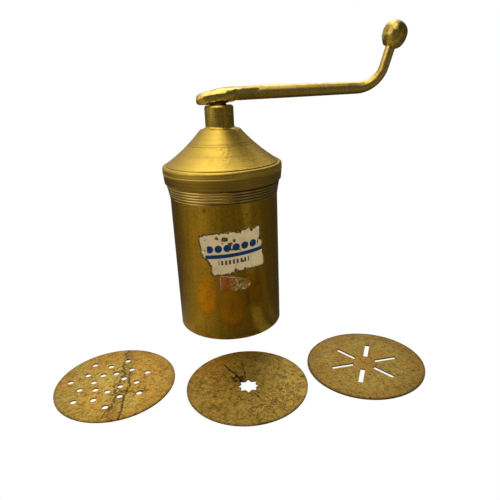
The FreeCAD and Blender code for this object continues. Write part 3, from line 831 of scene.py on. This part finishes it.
def joined(cells):
    """The largest group of cells that touch along their sides."""
    left = set(cells)
    best = set()
    while left:
        group = set()
        edge = [left.pop()]
        while edge:
            column, row = edge.pop()
            group.add((column, row))
            for near in ((column + 1, row), (column - 1, row), (column, row + 1), (column, row - 1)):
                if near in left:
                    left.remove(near)
                    edge.append(near)
        if len(group) > len(best):
            best = group
    return best


def sheet_cells(outline, tears, depth):
    """The small cells of a torn sheet on the unrolled barrel: inside its outline and outside its tears."""
    arcs, heights = zip(*outline)
    cells = []
    columns, rows = (range(int((min(side) - SHEET_MARGIN) / SHEET_CELL),
                           int((max(side) + SHEET_MARGIN) / SHEET_CELL)) for side in (arcs, heights))
    for column in columns:
        for row in rows:
            arc, height = ragged((column + 0.5) * SHEET_CELL, (row + 0.5) * SHEET_CELL, depth)
            torn = any(math.hypot(arc - x, (height - z) * TEAR_FLATNESS) < size for x, z, size in tears)
            if inside(outline, arc, height) and not torn:
                cells.append((column, row))
    return joined(cells)


def edge_cells(cells):
    """The cells that lie just outside a sheet's edge, and the ones just inside it."""
    steps = ((1, 0), (-1, 0), (0, 1), (0, -1), (1, 1), (-1, -1), (1, -1), (-1, 1))

    def neighbours(group):
        """The cells that touch any of a group's."""
        return {(column + across, row + up) for column, row in group for across, up in steps}

    beyond = neighbours(neighbours(cells)) - cells
    return beyond | neighbours(beyond)


def sheet_shape(cells, low, thickness):
    """A thin sheet of cells on the front of the barrel, from a lowest reach above it to its thickness."""
    shape = bmesh.new()
    corners = {}

    def corner(column, row, lift):
        """A corner's vertex on the sheet's underside (lift 0) or its top (lift 1), made once."""
        key = (column, row, lift)
        if key not in corners:
            turn = column * SHEET_CELL / BARREL_RADIUS
            reach = BARREL_RADIUS + low + lift * thickness
            corners[key] = shape.verts.new(Vector((math.sin(turn) * reach, -math.cos(turn) * reach,
                                                   row * SHEET_CELL)) * MM)
        return corners[key]

    for column, row in sorted(cells):
        loop = ((column, row), (column + 1, row), (column + 1, row + 1), (column, row + 1))
        shape.faces.new([corner(*place, 1) for place in loop])
        shape.faces.new([corner(*place, 0) for place in reversed(loop)])
        beyond = ((column, row - 1), (column + 1, row), (column, row + 1), (column - 1, row))
        for start, end, next_cell in zip(loop, loop[1:] + loop[:1], beyond):
            if next_cell not in cells:
                shape.faces.new((corner(*start, 0), corner(*end, 0), corner(*end, 1), corner(*start, 1)))
    return shape


def finish(material, *nodes):
    """Puts one material on nodes of the frame."""
    for node in nodes:
        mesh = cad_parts[node].data
        mesh.materials.clear()
        mesh.materials.append(material)


class PRESS_OT_barrel(bpy.types.Operator):
    """Barrel, its collar and the lip in its foot"""
    bl_idname = "press.barrel"
    bl_label = "Barrel"

    def execute(self, context):
        """Finishes the barrel, its lip and its collar."""
        colours = context.scene.press_colours
        finish(barrel_finish(colours), "barrel_tube", "foot_ring")
        finish(collar_finish(colours), "barrel_collar")
        return {"FINISHED"}


class PRESS_OT_cap(bpy.types.Operator):
    """Cap and the boss on top of it"""
    bl_idname = "press.cap"
    bl_label = "Cap"

    def execute(self, context):
        """Finishes the cap and the boss."""
        finish(cap_finish(context.scene.press_colours, context.scene.press_sizes), "cap_shell", "boss_nut")
        return {"FINISHED"}


class PRESS_OT_crank(bpy.types.Operator):
    """Crank arm and knob"""
    bl_idname = "press.crank"
    bl_label = "Crank"

    def execute(self, context):
        """Builds the arm and the knob on top of the boss."""
        material = crank_finish(context.scene.press_colours, context.scene.press_sizes)
        boss_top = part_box("boss_nut")[1][2] / MM
        piece("forged_crank", crank_shape(boss_top), material, "crank", "crank_brass", "crank_arm")
        piece("hammered_knob", knob_shape(boss_top), material, "crank", "crank_brass", "crank_knob")
        return {"FINISHED"}


class PRESS_OT_inside(bpy.types.Operator):
    """Spindle, washers and piston"""
    bl_idname = "press.inside"
    bl_label = "Spindle and piston"

    def execute(self, context):
        """Builds the threaded spindle and finishes what hangs on it."""
        colours = context.scene.press_colours
        material = spindle_finish(colours)
        piece("threaded_spindle", spindle_shape(), material, "crank", "spindle_brass", "spindle")
        finish(material, "journal_pin", "thrust_washer", "retaining_washer")
        finish(cap_finish(colours, context.scene.press_sizes), "piston_plate", "piston_hub", "hub_rivets")
        return {"FINISHED"}


class PRESS_OT_discs(bpy.types.Operator):
    """The three die discs"""
    bl_idname = "press.discs"
    bl_label = "Die discs"

    def execute(self, context):
        """Finishes each disc by its own look."""
        colours = context.scene.press_colours
        for node, look in DISC_LOOKS.items():
            low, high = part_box(node)
            centre = (low + high) / 2 / MM
            finish(disc_finish(node + "_finish", colours, centre, look), node)
        return {"FINISHED"}


class PRESS_OT_label(bpy.types.Operator):
    """Paper label and the glue stain under it"""
    bl_idname = "press.label"
    bl_label = "Label"

    def execute(self, context):
        """Builds the torn label, the glue and the painted shadow with dirt round the label."""
        colours = context.scene.press_colours
        paper = sheet_cells(LABEL_OUTLINE, LABEL_TEARS, LABEL_RAGGEDNESS)
        glue = sheet_cells(STAIN_OUTLINE, (), STAIN_RAGGEDNESS)
        piece("torn_label", sheet_shape(paper, *LABEL_LAYER), paper_finish(colours),
              "barrel", "label_paper", "paper_label")
        piece("glue_patch", sheet_shape(glue, *STAIN_LAYER), glue_finish(colours),
              "barrel", "label_glue", "label_stain")
        # Painted shadow with dirt: a dark sheet round the label's edges, under the paper.
        piece("label_edge_shadow", sheet_shape(edge_cells(paper), *EDGE_SHADOW_LAYER), edge_shadow_finish(colours),
              "barrel", "label_glue")
        return {"FINISHED"}


class PRESS_OT_stage(bpy.types.Operator):
    """Floor, light and camera"""
    bl_idname = "press.stage"
    bl_label = "Stage"

    def execute(self, context):
        """Builds the floor, then the light and the camera."""
        settings = context.scene.stage_settings
        floor = bpy.data.objects.new("floor", bpy.data.meshes.new("floor"))
        context.scene.collection.objects.link(floor)
        shape = bmesh.new()
        bmesh.ops.create_grid(shape, x_segments=1, y_segments=1, size=FLOOR_REACH)
        shape.to_mesh(floor.data)
        shape.free()
        material, r = new_material("floor_finish")
        glossy = r.node("ShaderNodeLightPath", None, None, "Is Glossy Ray")
        x, y, _ = r.split(r.place())
        bearing = x.maths("ARCTAN2", y * -1.0) / (2 * math.pi) + 0.5
        seen = r.node("ShaderNodeValToRGB", {"stops": FLOOR_GLOW}, {0: bearing})
        r.surface(Base_Color=(0.0, 0.0, 0.0), Roughness=1.0, Specular_IOR_Level=0.0,
                  Emission_Color=r.mix(glossy, settings.floor[:], seen), Emission_Strength=1.0)
        floor.data.materials.append(material)
        self.light(context, settings)
        self.camera(context)
        return {"FINISHED"}

    def light(self, context, settings):
        """A white room for what is matt, and for what is shiny a dim one with a soft box and lamps."""
        world = bpy.data.worlds.new("studio")
        context.scene.world = world
        world.use_nodes = True
        r = Recipe(world.node_tree)
        glossy = r.node("ShaderNodeLightPath", None, None, "Is Glossy Ray")
        toward = r.node("ShaderNodeTexCoord", None, None, "Generated")

        def lobe(direction, narrow):
            """1 towards a direction, falling away round it."""
            aim = Vector(direction).normalized()
            near = r.node("ShaderNodeVectorMath", {"operation": "DOT_PRODUCT"},
                          {0: toward, 1: tuple(aim)}, "Value")
            return near.maths("MAXIMUM", 0.0) ** narrow

        x, y, z = r.split(toward)
        right, left, front, rear, low = SOFT_BOX_EDGES
        soft_box = x.step(*right) * x.step(*left) * y.step(*front) * y.step(*rear)
        room = ROOM_GLOW + soft_box * z.step(*low) * settings.overhead
        for direction, narrow, strength in LAMPS:
            room = room + lobe(direction, narrow) * strength
        shade = r.mix(glossy, (settings.light,) * 3, r.mix(1.0, ROOM_TINT, room, "MULTIPLY"))
        back = r.node("ShaderNodeBackground", None, {"Color": shade})
        r.node("ShaderNodeOutputWorld", None, {"Surface": back})

    def camera(self, context):
        """Stands close in front, near the crank's height, and looks down on the press."""
        data = bpy.data.cameras.new("camera")
        camera = bpy.data.objects.new("camera", data)
        context.scene.collection.objects.link(camera)
        data.sensor_width = SENSOR_WIDTH
        data.lens = CAMERA_LENS
        data.clip_start = NEAREST_SEEN * MM
        camera.location = Vector(CAMERA_PLACE) * MM
        camera.rotation_euler = [math.radians(turn) for turn in CAMERA_TURNS]
        context.scene.camera = camera
        context.scene.view_settings.view_transform = "Standard"


class PRESS_PT_panel(bpy.types.Panel):
    """Lists the steps that build the press"""
    bl_idname = "PRESS_PT_panel"
    bl_label = "Brass Screw Press"
    bl_space_type = "VIEW_3D"
    bl_region_type = "UI"
    bl_category = "Press"

    def draw(self, context):
        """Shows a button for each step, then every setting."""
        for step in STEPS:
            self.layout.operator(step.bl_idname)
        for group in (context.scene.press_colours, context.scene.press_sizes, context.scene.stage_settings):
            for name in group.__annotations__:
                self.layout.prop(group, name)


STEPS = (PRESS_OT_barrel, PRESS_OT_cap, PRESS_OT_crank, PRESS_OT_inside, PRESS_OT_discs, PRESS_OT_label,
         PRESS_OT_stage)
GROUPS = {"press_colours": PressColours, "press_sizes": PressSizes, "stage_settings": StageSettings}


def register():
    """Adds the settings, operators and panel."""
    for name, group in GROUPS.items():
        bpy.utils.register_class(group)
        setattr(bpy.types.Scene, name, PointerProperty(type=group))
    for made in (*STEPS, PRESS_PT_panel):
        bpy.utils.register_class(made)


def unregister():
    """Takes them away again."""
    for made in (PRESS_PT_panel, *reversed(STEPS)):
        bpy.utils.unregister_class(made)
    for name, group in GROUPS.items():
        delattr(bpy.types.Scene, name)
        bpy.utils.unregister_class(group)


def main():
    """Builds every piece in order."""
    register()
    for step in STEPS:
        group, name = step.bl_idname.split(".")
        getattr(getattr(bpy.ops, group), name)()


if __name__ == "__main__":
    main()
